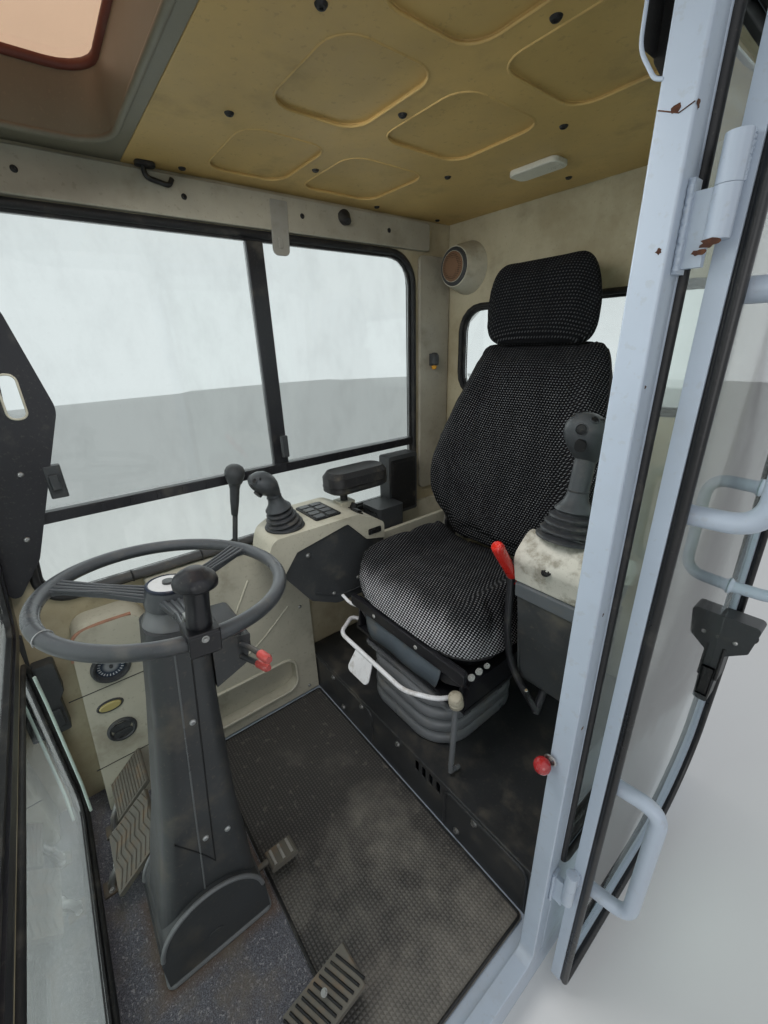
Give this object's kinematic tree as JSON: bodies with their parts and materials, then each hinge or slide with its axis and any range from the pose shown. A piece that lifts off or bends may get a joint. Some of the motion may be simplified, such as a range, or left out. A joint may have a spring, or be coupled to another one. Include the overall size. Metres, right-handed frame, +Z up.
{
  "type": "excavator cab",
  "caption": "Operator's cab of a wheeled excavator, door open, with seat, consoles, steering column and pedals.",
  "frame": {"origin": "centre of the four mounting holes, on the mounting face under the floor", "axes": "+X towards the operator's left (the door), +Y towards the rear, +Z up"},
  "size_m": [1.142, 1.46, 1.7],
  "materials": {
    "paint": "semi-gloss",
    "cab_interior": "satin",
    "liner": "matt, lightly grained",
    "beige_plastic": "matt, grained",
    "dark_plastic": "matt, grained",
    "black_metal": "satin",
    "glass": "clear, faintly green",
    "tinted_glass": "brown tint",
    "seal_rubber": "matt",
    "skylight_frame": "satin",
    "mat_rubber": "matt, fine pyramid pattern",
    "carpet": "cut pile",
    "seat_fabric": "woven, light dots",
    "wheel_plastic": "fine grain",
    "white_paint": "gloss",
    "pedal_rubber": "ribbed, worn",
    "red_plastic": "gloss",
    "bellows_rubber": "matt"
  },
  "bodies": {
    "cab": {"floor_frame": "paint", "right_side_frame": "cab_interior", "left_door_frame": "paint", "left_quarter_panel": "paint", "rear_panel": "cab_interior", "front_frame": "cab_interior", "windscreen_frame": "black_metal", "roof_panel": "paint", "roof_liner": "liner", "skylight_frame": "skylight_frame", "skylight_glass": "tinted_glass", "right_window_rail": "black_metal", "right_window_glass": "glass", "quarter_glass": "glass", "rear_glass": "glass", "windscreen_glass": "glass", "front_lower_glass": "glass", "window_seals": "seal_rubber", "door_hinges": "paint", "floor_mat": "mat_rubber", "front_carpet": "carpet", "dash_panel": "beige_plastic", "right_side_trim": "beige_plastic", "right_console": "beige_plastic", "right_console_side": "dark_plastic", "right_rear_tray": "beige_plastic", "right_joystick": "dark_plastic", "shift_lever": "dark_plastic", "armrest": "dark_plastic", "monitor_box": "dark_plastic", "speaker_pod": "beige_plastic", "grip_plate": "black_metal", "column_foot": "dark_plastic", "front_pedals": "pedal_rubber", "left_pedal": "pedal_rubber", "column_tilt_pedal": "pedal_rubber", "seat_pedestal": "dark_plastic", "seat_bellows": "bellows_rubber"},
    "door": {"door_frame": "paint", "door_glass": "glass", "door_seal": "seal_rubber", "door_grab_handles": "paint", "door_latch": "dark_plastic"},
    "column": {"column_cover": "dark_plastic", "column_switch_box": "dark_plastic"},
    "wheel": {"steering_wheel": "wheel_plastic"},
    "seat": {"seat_frame": "black_metal", "seat_cushion": "seat_fabric", "seat_adjust_bar": "white_paint"},
    "backrest": {"backrest": "seat_fabric", "headrest": "seat_fabric"},
    "left_console": {"left_console_box": "dark_plastic", "left_console_cover": "beige_plastic", "left_joystick": "dark_plastic", "safety_lever": "dark_plastic"}
  },
  "joints": [
    {"name": "door_hinge", "type": "hinge", "parent": "cab", "child": "door", "pos_m": [0.528, -0.07, 0.345], "axis": [0, 0, 1], "range_deg": [-180, 0]},
    {"name": "column_tilt", "type": "hinge", "parent": "cab", "child": "column", "pos_m": [0, -0.56, 0.165], "axis": [1, 0, 0], "range_deg": [-12, 4]},
    {"name": "wheel_spin", "type": "hinge", "parent": "column", "child": "wheel", "pos_m": [0, -0.48391, 0.87695], "axis": [0, 0.1063, 0.9943], "continuous": true},
    {"name": "seat_slide", "type": "slide", "parent": "cab", "child": "seat", "axis": [0, 1, 0], "range_m": [-0.14, 0.02]},
    {"name": "backrest_tilt", "type": "hinge", "parent": "seat", "child": "backrest", "pos_m": [0, 0.445, 0.644], "axis": [1, 0, 0], "range_deg": [0, 25]},
    {"name": "left_console_swing", "type": "hinge", "parent": "seat", "child": "left_console", "pos_m": [0.328, 0.33, 0.6], "axis": [1, 0, 0], "range_deg": [0, 25]}
  ]
}
